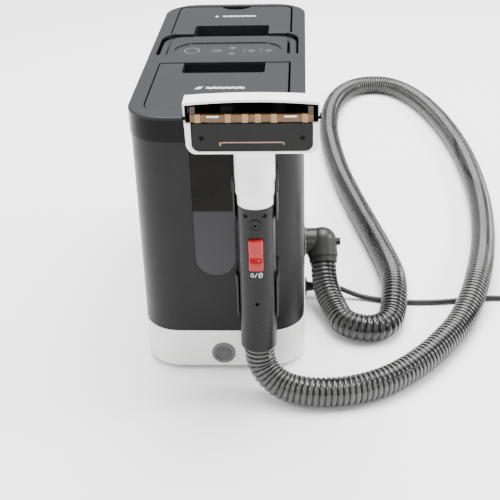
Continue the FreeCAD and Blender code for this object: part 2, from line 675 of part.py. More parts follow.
def nozzle_hood():
    hood = hood_outside()
    left, right = WAND_X - HALF_NOZZLE, WAND_X + HALF_NOZZLE
    flare_top = 370.0
    neck_square = rect(WAND_X - NECK_R, WAND_X + NECK_R, WAND_Y - NECK_R, WAND_Y + NECK_R, NECK_R - 0.2)
    neck_face = outline(neck_square, "xy", NOZZLE_BOTTOM)
    wide_face = outline(rect(left + 7, right - 7, -70, nozzle_back_y(flare_top) + 0.5, 6), "xy", flare_top)
    flare = Part.makeLoft([neck_face, wide_face], True, True)
    neck = rod(V(WAND_X, WAND_Y, NECK_BOTTOM), NECK_R, NOZZLE_BOTTOM - NECK_BOTTOM)
    taper = Part.makeCone(SPIGOT_R, NECK_R, 6, V(WAND_X, WAND_Y, NECK_BOTTOM - 6))
    lower = rod(V(WAND_X, WAND_Y, WAND_TOP + 0.2), SPIGOT_R, NECK_BOTTOM - 6 - WAND_TOP - 0.2)
    spigot = rod(V(WAND_X, WAND_Y, 222), 16.0, 31.2)
    hood = hood.fuse(flare).fuse(neck).fuse(taper).fuse(lower).fuse(spigot)
    hood = hood.cut(hood_cavity())
    hood = hood.cut(rod(V(WAND_X, WAND_Y, 200), 13.8, 140))
    for side in (-1, 1):
        boss = rod(V(WAND_X + side * PLATE_SCREW_X, -75.2, PLATE_SCREW_Z), 3.6, 44, Y_AXIS)
        hood = hood.fuse(boss)
        hood = hood.cut(rod(V(WAND_X + side * PLATE_SCREW_X, -76, PLATE_SCREW_Z), 1.3, 9, Y_AXIS))
        tab_x = WAND_X + side * TAB_X
        hood = hood.fuse(block(tab_x - 6.2, tab_x + 6.2, -76.8, -49.0, 365.0, 367.0))
        hood = hood.cut(side_block(side, 66.0, 70.0, -90, -70.7, 363.2, 367.9))
    return hood


def nozzle_plate():
    """The dark cover plate across the lower part of the mouth."""
    corners = rect(WAND_X - 61.2, WAND_X + 61.2, NOZZLE_BOTTOM + RIM + 0.3, 359.5, 8.0, 2.5)
    plate = prism(corners, -78.6, -75.4, "xz")
    slot = block(WAND_X - 31.5, WAND_X + 31.5, -79.2, -77.6, 338.3, 340.0)
    plate = plate.cut(slot)
    for x in (WAND_X - PLATE_SCREW_X, WAND_X + PLATE_SCREW_X):
        plate = plate.cut(rod(V(x, -80, PLATE_SCREW_Z), 2.7, 4.0, Y_AXIS))
        plate = plate.cut(rod(V(x, -80, PLATE_SCREW_Z), 1.35, 6, Y_AXIS))
    return plate


def nozzle_screws():
    return Part.makeCompound([screw(V(x, -78.0, PLATE_SCREW_Z), Y_AXIS, 2.6, 1.3, 7.5)
                              for x in (WAND_X - PLATE_SCREW_X, WAND_X + PLATE_SCREW_X)])


def nozzle_spreader():
    """The translucent amber strip with its ribs, end posts and two slots."""
    low, high = 360.3, 368.3
    strip = block(WAND_X - 61.8, WAND_X + 61.8, -77.0, -73.0, low, high)
    for x in RIB_PLACES:
        rib = prism(rect(WAND_X + x - 3, WAND_X + x + 3, low, high + 1.2, 0, 1.2), -78.4, -73.5, "xz")
        strip = strip.fuse(rib)
    for side in (-1, 1):
        strip = strip.fuse(side_block(side, 56.5, 61.8, -76.0, -73.0, low, 376.5))
        tab_x = WAND_X + side * TAB_X
        strip = strip.cut(block(tab_x - 6.6, tab_x + 6.6, -79, -72, 364.6, 367.4))
    return strip


def mouth_liner():
    """The black insert round the mouth, with an ear through each side of the hood."""
    left, right = WAND_X - HALF_NOZZLE, WAND_X + HALF_NOZZLE
    low = 371.5

    def layer(inset):
        front = prism(rect(left + 1.8 + inset, right - 1.8 - inset, low, NOZZLE_TOP + 2), -77.5, -20, "xz")
        side = prism([(-78, low - 1, 0), (nozzle_back_y(low - 1, 4.0 + inset), low - 1, 0),
                      (nozzle_back_y(NOZZLE_TOP, 4.0 + inset), NOZZLE_TOP, 0), (-78, NOZZLE_TOP, 0)],
                     left, right, "yz")
        return front.common(side).common(crown(LIP + inset))

    liner = layer(0.3).cut(layer(1.5))
    for side in (-1, 1):
        cheek = side_block(side, 65.2, 66.4, -77.5, -66.0, 363.5, 374.0)
        ear = side_block(side, 65.5, 69.6, -77.5, -71.0, 363.5, 367.6)
        liner = liner.fuse(cheek).fuse(ear)
    return liner


# ---- hose elbow and mains inlet ------------------------------------------------------------
def hose_elbow():
    ball = Part.makeSphere(ELBOW_R, ELBOW)
    stub = rod(V(100.8, ELBOW.y, ELBOW.z), 18.5, ELBOW.x - 100.8, X_AXIS)
    cuff = rod(ELBOW, ELBOW_R, 16, HOSE_OUT)
    made = ball.fuse(stub).fuse(cuff)
    bore = Part.makeSphere(14.5, ELBOW)
    bore = bore.fuse(rod(V(99, ELBOW.y, ELBOW.z), 14.5, ELBOW.x - 99, X_AXIS))
    bore = bore.fuse(rod(ELBOW, 14.5, 20, HOSE_OUT))
    tab_seat = block(139.4, 150.0, ELBOW.y - 5.0, ELBOW.y + 5.0, ELBOW.z - 3.7, ELBOW.z + 3.7)
    collar_seat = rod(ELBOW + HOSE_OUT * 16.0, ELBOW_R + 0.8, 8.0, HOSE_OUT)
    return made.cut(bore).cut(tab_seat).cut(collar_seat)


def hose_collar():
    start = ELBOW + HOSE_OUT * 16.0
    collar = ring(start, ELBOW_R + 0.4, 14.5, 6.0, HOSE_OUT)
    cuff = ring(start + HOSE_OUT * 6.0, ELBOW_R - 1.0, 14.5, CUFF_LENGTH - 22.0, HOSE_OUT)
    return collar.fuse(cuff)


def hose_port():
    """The socket in the side wall that the elbow plugs into."""
    flange = ring(V(98.6, ELBOW.y, ELBOW.z), 20.0, 14.6, 2.0, X_AXIS)
    neck = ring(V(93.2, ELBOW.y, ELBOW.z), 17.4, 14.6, 5.6, X_AXIS)
    return flange.fuse(neck)


def elbow_tab():
    """The latch button on the outside of the elbow."""
    tab = block(141.6, ELBOW_REACH, ELBOW.y - 4.7, ELBOW.y + 4.7, ELBOW.z - 3.4, ELBOW.z + 3.4)
    outer = [e for e in tab.Edges if all(abs(p.Point.x - ELBOW_REACH) < 0.01 for p in e.Vertexes)]
    return tab.makeFillet(1.5, outer)


def cord_gland():
    """The mains inlet plate and its tapered strain relief."""
    plate = rod(INLET, 12.5, 2.4, X_AXIS)
    relief = Part.makeCone(6.6, 4.6, 24.0, INLET + X_AXIS * 2.4, X_AXIS)
    neck = rod(INLET - X_AXIS * 4.6, 7.6, 4.6, X_AXIS)
    return plate.fuse(relief).fuse(neck)


def cord_coil():
    """The outer shape of the stored turns."""
    half = COIL_BUNDLE / 2
    outer, inner = COIL_MEAN_R + half, COIL_MEAN_R - half
    coil = ring(COIL_CENTRE, outer, inner, COIL_BUNDLE)
    round_edges = edges_at_z(coil, COIL_BUNDLE) + edges_at_z(coil, 0)
    return coil.makeFillet(7.0, round_edges)


def cord_tie():
    """The strap round the bundle."""
    x = COIL_CENTRE.x - COIL_MEAN_R
    half = COIL_BUNDLE / 2
    y = COIL_CENTRE.y
    outer = prism(rect(x - half - 1.2, x + half + 1.2, 0.0, COIL_BUNDLE + 1.2, 7.5), y - 6, y + 6, "xz")
    inner = prism(rect(x - half, x + half, 0.0, COIL_BUNDLE, 6.9), y - 7, y + 7, "xz")
    ring_part = outer.cut(inner)
    return ring_part.cut(cord_coil())


def mains_plug():
    body = prism([(0, -6.5, 3), (36, -13, 3), (36, 13, 3), (0, 6.5, 3)], 0, 22)
    body = body.makeFillet(3.0, edges_at_z(body, 22) + edges_at_z(body, 0))
    body.rotate(V(0, 0, 0), Z_AXIS, PLUG_TURN)
    body.translate(V(PLUG_FACE.x, PLUG_FACE.y, 0))
    return body


def plug_blades():
    blades = []
    for y in (-6.35, 6.35):
        blade = block(36, 53, y - 0.75, y + 0.75, PLUG_FACE.z - 3.2, PLUG_FACE.z + 3.2)
        blade = blade.cut(rod(V(49, y - 2, PLUG_FACE.z), 1.6, 4, Y_AXIS))
        blade.rotate(V(0, 0, 0), Z_AXIS, PLUG_TURN)
        blade.translate(V(PLUG_FACE.x, PLUG_FACE.y, 0))
        blades.append(blade)
    return Part.makeCompound(blades)


MACHINE_NODES = {
    "base_pan": base_pan,
    "rubber_feet": rubber_feet,
    "base_screws": base_screws,
    "housing": housing,
    "window": window,
    "top_cover": cover_with_pin_seats,
    "touch_panel": touch_panel,
    "control_board": control_board,
    "inner_frame": inner_frame,
    "carry_handle": carry_handle,
    "handle_pins": handle_pins,
    "waste_tank": lambda: tank(WASTE_FRONT, WASTE_BACK, 22, 3),
    "waste_lid": waste_lid,
    "waste_lid_seal": lambda: lid_seal(WASTE_FRONT, WASTE_BACK, 22, 3),
    "float_cage": float_cage,
    "float_ball": float_ball,
    "clean_tank": lambda: tank(CLEAN_FRONT, CLEAN_BACK, 3, 13),
    "clean_lid": clean_lid,
    "clean_lid_seal": lambda: lid_seal(CLEAN_FRONT, CLEAN_BACK, 3, 13),
    "clean_tank_valve": clean_tank_valve,
    "waste_inlet_pipe": waste_inlet_pipe,
    "fan_housing": fan_housing,
    "impeller": impeller,
    "motor_case": motor_case,
    "motor_bearings": motor_bearings,
    "motor_rotor": motor_rotor,
    "motor_stator": motor_stator,
    "water_pump": water_pump,
    "button_bezel": button_bezel,
    "base_button": base_button,
    "button_spring": lambda: helix_spring(V(BUTTON_X, 7.2, BUTTON_Z), 5.6, 0.5, 9.6, 4, Y_AXIS),
    "button_switch": button_switch,
    "upper_cradle": lambda: cradle_with_screw_seats(upper_cradle(), CRADLE_SCREW_HEIGHTS[2:]),
    "lower_cradle": lambda: cradle_with_screw_seats(lower_cradle(), CRADLE_SCREW_HEIGHTS[:2]),
    "cradle_screws": cradle_screws,
    "wand_front_shell": wand_front_shell,
    "wand_back_shell": wand_back_shell,
    "wand_suction_pipe": wand_suction_pipe,
    "wand_screws": wand_screws,
    "trigger": trigger,
    "trigger_pin": trigger_pin,
    "trigger_valve": trigger_valve,
    "nozzle_button": nozzle_button,
    "nozzle_hood": nozzle_hood,
    "nozzle_plate": nozzle_plate,
    "nozzle_screws": nozzle_screws,
    "nozzle_spreader": nozzle_spreader,
    "mouth_liner": mouth_liner,
    "hose_port": hose_port,
    "hose_elbow": hose_elbow,
    "hose_collar": hose_collar,
    "elbow_tab": elbow_tab,
    "cord_gland": cord_gland,
}
CORD_NODES = {
    "hose": lambda: cord_tube("hose", HOSE_ROUTE, HOSE_D),
    "power_cord": lambda: cord_tube("power_cord", CORD_ROUTE, CORD_D),
    "power_cord_tail": lambda: cord_tube("power_cord_tail", TAIL_ROUTE, CORD_D),
    "cord_coil": cord_coil,
    "cord_tie": cord_tie,
    "mains_plug": mains_plug,
    "plug_blades": plug_blades,
}


def save(name, shape):
    if not shape.isValid():
        print("not valid:", name)
    shape.exportStep(f"parts/{name}.step")


def main():
    os.makedirs("parts", exist_ok=True)
    for name, make in MACHINE_NODES.items():
        shape = make()
        shape.translate(MACHINE_PLACE)
        save(name, shape)
    for name, make in CORD_NODES.items():
        save(name, make())


main()
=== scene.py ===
import json
import math

import bmesh
import bpy
from mathutils import Matrix, Vector


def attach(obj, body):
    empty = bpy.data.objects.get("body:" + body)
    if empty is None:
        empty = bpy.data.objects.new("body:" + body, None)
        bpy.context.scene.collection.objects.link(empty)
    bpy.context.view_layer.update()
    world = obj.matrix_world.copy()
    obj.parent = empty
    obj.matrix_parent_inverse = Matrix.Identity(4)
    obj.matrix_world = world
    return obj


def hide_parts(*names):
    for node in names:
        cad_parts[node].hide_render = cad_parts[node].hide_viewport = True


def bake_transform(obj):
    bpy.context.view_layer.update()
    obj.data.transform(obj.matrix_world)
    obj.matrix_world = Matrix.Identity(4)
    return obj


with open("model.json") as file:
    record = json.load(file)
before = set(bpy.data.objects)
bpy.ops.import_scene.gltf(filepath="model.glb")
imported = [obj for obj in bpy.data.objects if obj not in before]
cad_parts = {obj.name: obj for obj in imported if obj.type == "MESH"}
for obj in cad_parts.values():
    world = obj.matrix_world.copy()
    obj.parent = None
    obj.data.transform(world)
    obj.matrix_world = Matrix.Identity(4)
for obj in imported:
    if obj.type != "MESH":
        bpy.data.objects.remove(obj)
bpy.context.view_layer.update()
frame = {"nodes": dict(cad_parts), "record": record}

MM = 0.001
MACHINE_MIDDLE = -0.024  # x of the machine's body
WAND_MIDDLE = 0.0215     # x of the wand and the nozzle
DECK = 333.8             # height of the deck, mm in the machine's own frame
LID = 334.4              # height of the two lids
INK = 0.05               # thickness of the print

# ---- routes of the hose and the mains cord, metres, as in the CAD part ----------------------
HOSE_D = 0.035
CORD_D = 0.007
HOSE_ROUTE = [
    (0.1005, -0.0142, 0.0549), (0.1017, -0.0295, 0.0365), (0.108, -0.052, 0.0245),
    (0.1165, -0.076, 0.0175), (0.124, -0.1, 0.0175), (0.138, -0.113, 0.0175),
    (0.155, -0.118, 0.0175), (0.173, -0.114, 0.0175), (0.185, -0.101, 0.0175),
    (0.191, -0.083, 0.0185), (0.195, -0.056, 0.025), (0.1975, -0.02, 0.028), (0.197, 0.02, 0.022),
    (0.192, 0.065, 0.0175), (0.182, 0.118, 0.0175), (0.168, 0.185, 0.0175), (0.15, 0.275, 0.0175),
    (0.134, 0.37, 0.0175), (0.124, 0.47, 0.0175), (0.12, 0.56, 0.0175), (0.126, 0.65, 0.0175),
    (0.144, 0.73, 0.0175), (0.178, 0.783, 0.0175), (0.225, 0.799, 0.0175), (0.268, 0.773, 0.0175),
    (0.304, 0.705, 0.0175), (0.332, 0.605, 0.0175), (0.35, 0.49, 0.0175), (0.358, 0.37, 0.0175),
    (0.356, 0.25, 0.0175), (0.345, 0.145, 0.0175), (0.33, 0.065, 0.022), (0.316, 0.005, 0.028),
    (0.3, -0.05, 0.026), (0.278, -0.102, 0.0175), (0.248, -0.15, 0.0175), (0.213, -0.195, 0.0175),
    (0.174, -0.229, 0.0175), (0.138, -0.246, 0.0175), (0.107, -0.2525, 0.0175),
    (0.077, -0.252, 0.0175), (0.05, -0.244, 0.019), (0.031, -0.2325, 0.03), (0.0215, -0.225, 0.048),
    (0.0215, -0.225, 0.073),
]
CORD_ROUTE = [
    (0.102, -0.013, 0.017), (0.117, -0.013, 0.017), (0.134, -0.016, 0.0105), (0.153, -0.02, 0.0045),
    (0.18, -0.027, 0.0035), (0.216, -0.033, 0.0035), (0.258, -0.032, 0.0035),
    (0.302, -0.024, 0.0035), (0.342, -0.019, 0.0035), (0.378, -0.03, 0.0035),
    (0.402, -0.048, 0.0035),
]
TAIL_ROUTE = [
    (0.4855, 0.001, 0.0245), (0.484, 0.028, 0.0215), (0.47, 0.056, 0.0155), (0.446, 0.073, 0.012),
    (0.424, 0.081, 0.011),
]
COIL_X, COIL_Y = 0.431, -0.013


# ---- material helpers ----------------------------------------------------------------------
def srgb(r, g, b):
    """Linear colour from 0..255 display values."""
    def linear(v):
        v = v / 255
        return v / 12.92 if v <= 0.04045 else ((v + 0.055) / 1.055) ** 2.4
    return (linear(r), linear(g), linear(b), 1.0)


def shade(colour, k):
    return tuple(min(1.0, c * k) for c in colour[:3]) + (1.0,)


class Shader:
    """A small builder round one material's node tree."""

    def __init__(self, name):
        self.mat = bpy.data.materials.new(name)
        self.mat.use_nodes = True
        self.tree = self.mat.node_tree
        self.bsdf = self.tree.nodes["Principled BSDF"]
        self.coord = self.tree.nodes.new("ShaderNodeTexCoord").outputs["Object"]

    def node(self, kind, **values):
        made = self.tree.nodes.new(kind)
        for key, value in values.items():
            if hasattr(made, key):
                setattr(made, key, value)
            else:
                made.inputs[key.replace("_", " ")].default_value = value
        return made

    def link(self, a, b):
        self.tree.links.new(a, b)

    def noise(self, scale, detail=3.0, rough=0.6, coord=None):
        made = self.node("ShaderNodeTexNoise", Scale=scale, Detail=detail, Roughness=rough)
        self.link(coord or self.coord, made.inputs["Vector"])
        return made.outputs["Fac"]

    def stretched(self, x, y, z):
        made = self.node("ShaderNodeMapping")
        made.inputs["Scale"].default_value = (x, y, z)
        self.link(self.coord, made.inputs["Vector"])
        return made.outputs["Vector"]

    def ramp(self, value, low, high, out_low, out_high):
        made = self.node("ShaderNodeMapRange")
        self.link(value, made.inputs["Value"])
        ends = {"From Min": low, "From Max": high, "To Min": out_low, "To Max": out_high}
        for key, number in ends.items():
            made.inputs[key].default_value = number
        return made.outputs["Result"]

    def mix(self, factor, a, b):
        made = self.node("ShaderNodeMix", data_type="RGBA")
        self.link(factor, made.inputs[0])
        for socket, value in ((made.inputs[6], a), (made.inputs[7], b)):
            if isinstance(value, tuple):
                socket.default_value = value
            else:
                self.link(value, socket)
        return made.outputs[2]

    def cloud(self, scale, detail=3.0, rough=0.6):
        """Soft patches from 0 to 1."""
        return self.ramp(self.noise(scale, detail, rough), 0.3, 0.7, 0.0, 1.0)

    def math(self, operation, a, b=0.0):
        made = self.node("ShaderNodeMath", operation=operation)
        for socket, value in ((made.inputs[0], a), (made.inputs[1], b)):
            if isinstance(value, float):
                socket.default_value = value
            else:
                self.link(value, socket)
        return made.outputs[0]

    def split(self):
        made = self.node("ShaderNodeSeparateXYZ")
        self.link(self.coord, made.inputs[0])
        return made.outputs

    def bump(self, height, strength, distance, soften=0.0):
        made = self.node("ShaderNodeBump", Strength=strength, Distance=distance)
        self.link(height, made.inputs["Height"])
        if soften > 0:
            bevel = self.node("ShaderNodeBevel", samples=6, Radius=soften)
            self.link(bevel.outputs[0], made.inputs["Normal"])
        return made.outputs["Normal"]

    def set(self, **values):
        for key, value in values.items():
            socket = self.bsdf.inputs[key.replace("_", " ")]
            if isinstance(value, (float, int, tuple)):
                socket.default_value = value
            else:
                self.link(value, socket)


def moulded(name, colour, rough=0.45, grain=0.25, grain_mm=0.35, variation=0.08, coat=0.0,
            shine=0.5, edge=0.0006):
    """Injection-moulded plastic: fine spark-eroded grain, faint flow marks, soft moulded edges."""
    s = Shader(name)
    broad = s.noise(14.0, 3.0)
    fine = s.noise(1 / (grain_mm * MM), 2.0)
    flow = s.noise(1.0, 2.0, coord=s.stretched(9.0, 9.0, 38.0))
    tone = s.math("ADD", s.ramp(broad, 0.3, 0.7, 0.0, 0.6), s.ramp(flow, 0.3, 0.7, 0.0, 0.4))
    handled = s.noise(45.0, 5.0, 0.65)
    s.set(Base_Color=s.mix(tone, shade(colour, 1 - variation), shade(colour, 1 + variation)))
    s.set(Roughness=s.ramp(handled, 0.35, 0.7, rough - 0.03, rough + 0.06))
    s.set(Normal=s.bump(fine, grain, 0.00012, edge))
    s.set(Specular_IOR_Level=shine)
    if coat > 0:
        s.set(Coat_Weight=coat)
        s.set(Coat_Roughness=0.1)
    return s.mat


def clear_plastic(name, colour, alpha):
    """Smoked see-through plastic with faint ripples from moulding."""
    s = Shader(name)
    ripple = s.noise(22.0, 2.0)
    patches = s.ramp(ripple, 0.3, 0.7, 0.0, 1.0)
    s.set(Base_Color=s.mix(patches, shade(colour, 0.85), shade(colour, 1.15)))
    s.set(Roughness=s.ramp(s.noise(90.0), 0.3, 0.7, 0.08, 0.14))
    s.set(Alpha=alpha, Specular_IOR_Level=0.5)
    s.set(Normal=s.bump(ripple, 0.12, 0.0006, 0.0006))
    return s.mat


def window_pane(name):
    """The smoke-tinted window: near black above the dirty-water tank's waterline, smoky grey below it."""
    s = Shader(name)
    waterline, window_foot = 0.22, 0.135
    z = s.split()[2]
    below = s.ramp(z, waterline - 0.0015, waterline + 0.0015, 1.0, 0.0)
    depth = s.ramp(z, window_foot, waterline, 1.0, 0.0)
    low = s.mix(depth, srgb(38, 38, 40), srgb(48, 48, 50))
    top = s.mix(s.cloud(30.0, 4.0), srgb(8, 7, 5), srgb(16, 14, 11))
    s.set(Base_Color=s.mix(below, top, low))
    s.set(Roughness=s.ramp(s.noise(120.0), 0.3, 0.7, 0.06, 0.12))
    s.set(Specular_IOR_Level=s.ramp(below, 0.0, 1.0, 0.08, 0.2))
    s.set(Normal=s.bump(s.noise(14.0, 2.0), 0.10, 0.001, 0.0012))
    return s.mat


def cover_with_shaded_band(name, deck_colour, band_shade_colour):
    """The top cover: satin grey deck and wells; the glossy strip round its side is the same plastic,
    painted near black as shade.
    """
    s = Shader(name)
    well_half_width, well_front = 0.0835, -0.165
    band_top, deck_edge = 0.3310, 0.3332
    x, y, z = s.split()
    off_middle = s.math("ABSOLUTE", s.math("ADD", x, -MACHINE_MIDDLE))
    within = s.math("LESS_THAN", off_middle, well_half_width)
    inner_wall = s.math("MULTIPLY", within, s.math("GREATER_THAN", y, well_front))
    upper = s.math("MAXIMUM", s.ramp(z, band_top, deck_edge, 0.0, 1.0), inner_wall)
    cloud = s.cloud(14.0)
    deck = s.mix(cloud, shade(deck_colour, 0.93), shade(deck_colour, 1.07))
    # painted shade: the side strip is a near-black copy of the deck colour
    shaded_band = s.mix(cloud, shade(band_shade_colour, 0.85), shade(band_shade_colour, 1.15))
    s.set(Base_Color=s.mix(upper, shaded_band, deck), Roughness=s.ramp(upper, 0.0, 1.0, 0.17, 0.42))
    s.set(Specular_IOR_Level=s.ramp(upper, 0.0, 1.0, 0.1, 0.18))
    s.set(Normal=s.bump(s.noise(3300.0, 2.0), 0.3, 0.0001, 0.0006))
    return s.mat


def nozzle_shell(name, colour):
    """White outside; the walls of the suction mouth are painted near black as shade."""
    s = Shader(name)
    mouth_front, mouth_half_width = -0.2614, 0.0663
    mouth_bottom, mouth_top = 0.345, 0.3785
    x, y, z = s.split()
    tone = s.mix(s.cloud(14.0), shade(colour, 0.975), colour)
    from_sloping_back = s.math("ADD", y, s.ramp(z, 0.3325, 0.387, 0.211, 0.247))
    off_middle = s.math("ABSOLUTE", s.math("SUBTRACT", x, WAND_MIDDLE))
    masks = [
        s.math("GREATER_THAN", y, mouth_front),
        s.math("LESS_THAN", from_sloping_back, 0.0),
        s.math("LESS_THAN", off_middle, mouth_half_width),
        s.math("GREATER_THAN", z, mouth_bottom),
        s.math("LESS_THAN", z, mouth_top),
    ]
    mouth_shade = masks[0]
    for one in masks[1:]:
        mouth_shade = s.math("MULTIPLY", mouth_shade, one)
    # painted shade: the mouth's walls are coloured near black with little shine
    s.set(Base_Color=s.mix(mouth_shade, tone, srgb(10, 10, 9)))
    s.set(Roughness=s.ramp(s.noise(45.0, 5.0), 0.35, 0.7, 0.27, 0.36))
    s.set(Specular_IOR_Level=s.ramp(mouth_shade, 0.0, 1.0, 0.5, 0.05))
    s.set(Coat_Weight=0.1, Coat_Roughness=0.1)
    s.set(Normal=s.bump(s.noise(2000.0, 2.0), 0.06, 0.00012, 0.0006))
    return s.mat


def amber_strip(name):
    """Amber plastic: pale on the ribs that stand forward, brown between them, dark on the end posts."""
    s = Shader(name)
    _, y, z = s.split()
    forward = s.ramp(y, -0.2629, -0.2621, 1.0, 0.0)
    cloud = s.cloud(160.0, 4.0)
    body = s.mix(cloud, srgb(88, 58, 20), srgb(112, 78, 32))
    rib = s.mix(cloud, srgb(140, 104, 58), srgb(162, 126, 78))
    lower = s.mix(forward, body, rib)
    posts = s.ramp(z, 0.3690, 0.3696, 0.0, 1.0)
    s.set(Base_Color=s.mix(posts, lower, srgb(48, 30, 20)), Roughness=0.16)
    s.set(Coat_Weight=0.3, Coat_Roughness=0.05, Specular_IOR_Level=0.3)
    s.set(Normal=s.bump(s.noise(300.0, 3.0), 0.3, 0.0003, 0.0003))
    return s.mat


def metal(name, colour, rough=0.3):
    s = Shader(name)
    brushed = s.noise(1.0, 4.0, coord=s.stretched(40.0, 900.0, 900.0))
    stains = s.ramp(s.noise(60.0), 0.4, 0.7, 0.0, 1.0)
    s.set(Base_Color=s.mix(stains, colour, shade(colour, 0.82)), Metallic=1.0)
    s.set(Roughness=s.ramp(brushed, 0.3, 0.7, rough - 0.08, rough + 0.12))
    s.set(Normal=s.bump(brushed, 0.15, 0.00005, 0.0003))
    return s.mat


def rubber(name, colour, rough=0.6):
    s = Shader(name)
    fine = s.noise(2600.0, 2.0)
    dust = s.noise(30.0, 5.0)
    s.set(Base_Color=s.mix(s.ramp(dust, 0.45, 0.75, 0.0, 0.35), colour, shade(colour, 1.8)))
    s.set(Roughness=s.ramp(dust, 0.3, 0.7, rough - 0.06, rough + 0.1))
    s.set(Normal=s.bump(fine, 0.3, 0.0001, 0.0004), Specular_IOR_Level=0.35)
    return s.mat


def hose_wall(name, colour, dark):
    """Glossy vinyl: cloudy, with painted shade darkening the stretch by the elbow, the water tube in it a
    dark line.
    """
    s = Shader(name)
    cloud = s.ramp(s.noise(55.0, 4.0, 0.65), 0.35, 0.68, 0.0, 1.0)
    inner = s.node("ShaderNodeAttribute", attribute_name="inner_tube").outputs["Fac"]
    shaded_stretch = s.node("ShaderNodeAttribute", attribute_name="shaded_stretch").outputs["Fac"]
    tone = s.mix(cloud, shade(colour, 0.78), shade(colour, 1.15))
    # painted shade: the stretch by the elbow is mixed towards the dark colour
    tone = s.mix(s.math("MULTIPLY", shaded_stretch, 0.62), tone, dark)
    s.set(Base_Color=s.mix(s.math("MULTIPLY", inner, 0.95), tone, dark))
    s.set(Roughness=s.ramp(s.noise(260.0, 3.0), 0.3, 0.7, 0.12, 0.24))
    s.set(Normal=s.bump(s.noise(420.0, 3.0), 0.25, 0.00035))
    s.set(Coat_Weight=0.5, Coat_Roughness=0.08, Specular_IOR_Level=0.15)
    return s.mat


# ---- geometry helpers ----------------------------------------------------------------------
def place(x, y, z):
    """Millimetres in the machine's own frame to metres in the shared frame."""
    return Vector(((x - 24.0) * MM, (y - 185.0) * MM, z * MM))


def wand_place(x, y, z):
    """As place, with x counted from the wand's middle."""
    return place(45.5 + x, y, z)


def new_mesh(name, verts, faces, material, smooth=True):
    mesh = bpy.data.meshes.new(name)
    mesh.from_pydata([tuple(v) for v in verts], [], faces)
    mesh.validate()
    mesh.update()
    piece = bpy.data.objects.new(name, mesh)
    bpy.context.scene.collection.objects.link(piece)
    for one in (material if isinstance(material, (list, tuple)) else [material]):
        mesh.materials.append(one)
    for polygon in mesh.polygons:
        polygon.use_smooth = smooth
    return piece


def fix_normals(piece):
    made = bmesh.new()
    made.from_mesh(piece.data)
    bmesh.ops.recalc_face_normals(made, faces=made.faces)
    made.to_mesh(piece.data)
    made.free()


def skin(name, loops, material):
    """A closed skin over loops that all have the same number of points."""
    count = len(loops[0])
    verts = [v for loop in loops for v in loop]
    faces = []
    for i in range(len(loops) - 1):
        for j in range(count):
            k = (j + 1) % count
            faces.append((i * count + j, i * count + k, (i + 1) * count + k, (i + 1) * count + j))
    faces.append(tuple(range(count))[::-1])
    faces.append(tuple((len(loops) - 1) * count + j for j in range(count)))
    piece = new_mesh(name, verts, faces, material)
    fix_normals(piece)
    return piece


def revolve(name, origin, axis, profile, material, sides):
    """A turned part: profile lists (distance along axis, radius) in millimetres."""
    axis = Vector(axis).normalized()
    side = axis.orthogonal().normalized()
    up = axis.cross(side)
    loops = []
    for reach, radius in profile:
        centre = Vector(origin) + axis * (reach * MM)
        loops.append([centre + (side * math.cos(a) + up * math.sin(a)) * (radius * MM)
                      for a in (2 * math.pi * j / sides for j in range(sides))])
    return skin(name, loops, material)


def spline_curve(name, points):
    """A NURBS curve object whose one open spline has these control points."""
    data = bpy.data.curves.new(name, "CURVE")
    data.dimensions = "3D"
    data.resolution_u = 24
    spline = data.splines.new("NURBS")
    spline.points.add(len(points) - 1)
    for point, spot in zip(spline.points, points):
        point.co = (*spot, 1.0)
    spline.order_u = 3
    spline.use_endpoint_u = True
    piece = bpy.data.objects.new(name, data)
    bpy.context.scene.collection.objects.link(piece)
    return piece


def curve_points(curve):
    """The points along a curve with no bevel, in order."""
    bpy.context.view_layer.update()
    mesh = bpy.data.meshes.new_from_object(curve)
    points = [v.co.copy() for v in mesh.vertices]
    bpy.data.meshes.remove(mesh)
    return points


class Track:
    """Position and a steady cross frame at any length along a polyline."""

    def __init__(self, points):
        self.points = points
        self.marks = [0.0]
        for a, b in zip(points, points[1:]):
            self.marks.append(self.marks[-1] + (b - a).length)
        self.length = self.marks[-1]
        self.frames = []
        up = Vector((0, 0, 1))
        count = len(points)
        for i in range(count):
            ahead = (points[min(i + 1, count - 1)] - points[max(i - 1, 0)]).normalized()
            side = ahead.cross(up).normalized()
            up = side.cross(ahead).normalized()
            self.frames.append((side.copy(), up.copy()))
        self.at_index = 0

    def at(self, s):
        s = min(max(s, 0.0), self.length)
        while self.at_index > 0 and self.marks[self.at_index] > s:
            self.at_index -= 1
        while self.at_index < len(self.marks) - 2 and self.marks[self.at_index + 1] < s:
            self.at_index += 1
        i = self.at_index
        span = self.marks[i + 1] - self.marks[i]
        t = 0.0 if span == 0 else (s - self.marks[i]) / span
        spot = self.points[i].lerp(self.points[i + 1], t)
        side = self.frames[i][0].lerp(self.frames[i + 1][0], t).normalized()
        up = self.frames[i][1].lerp(self.frames[i + 1][1], t).normalized()
        return spot, side, up


# ---- camera, floor and light ---------------------------------------------------------------
def make_camera():
    pitch, yaw, roll = math.radians(29.2434), math.radians(3.4897), math.radians(-1.6986)
    spot = Vector((0.07256, -1.18624, 0.7324))
    flat = math.cos(pitch)
    ahead = Vector((-math.sin(yaw) * flat, math.cos(yaw) * flat, -math.sin(pitch)))
    level = Vector((math.cos(yaw), math.sin(yaw), 0))
    over = level.cross(ahead)
    right = level * math.cos(roll) + over * math.sin(roll)
    up = over * math.cos(roll) - level * math.sin(roll)
    data = bpy.data.cameras.new("camera")
    data.lens = 71.36
    data.sensor_width = 36.0
    data.clip_start, data.clip_end = 0.05, 50.0
    camera = bpy.data.objects.new("camera", data)
    bpy.context.scene.collection.objects.link(camera)
    camera.matrix_world = Matrix((
        (right.x, up.x, -ahead.x, spot.x),
        (right.y, up.y, -ahead.y, spot.y),
        (right.z, up.z, -ahead.z, spot.z),
        (0, 0, 0, 1),
    ))
    bpy.context.scene.camera = camera


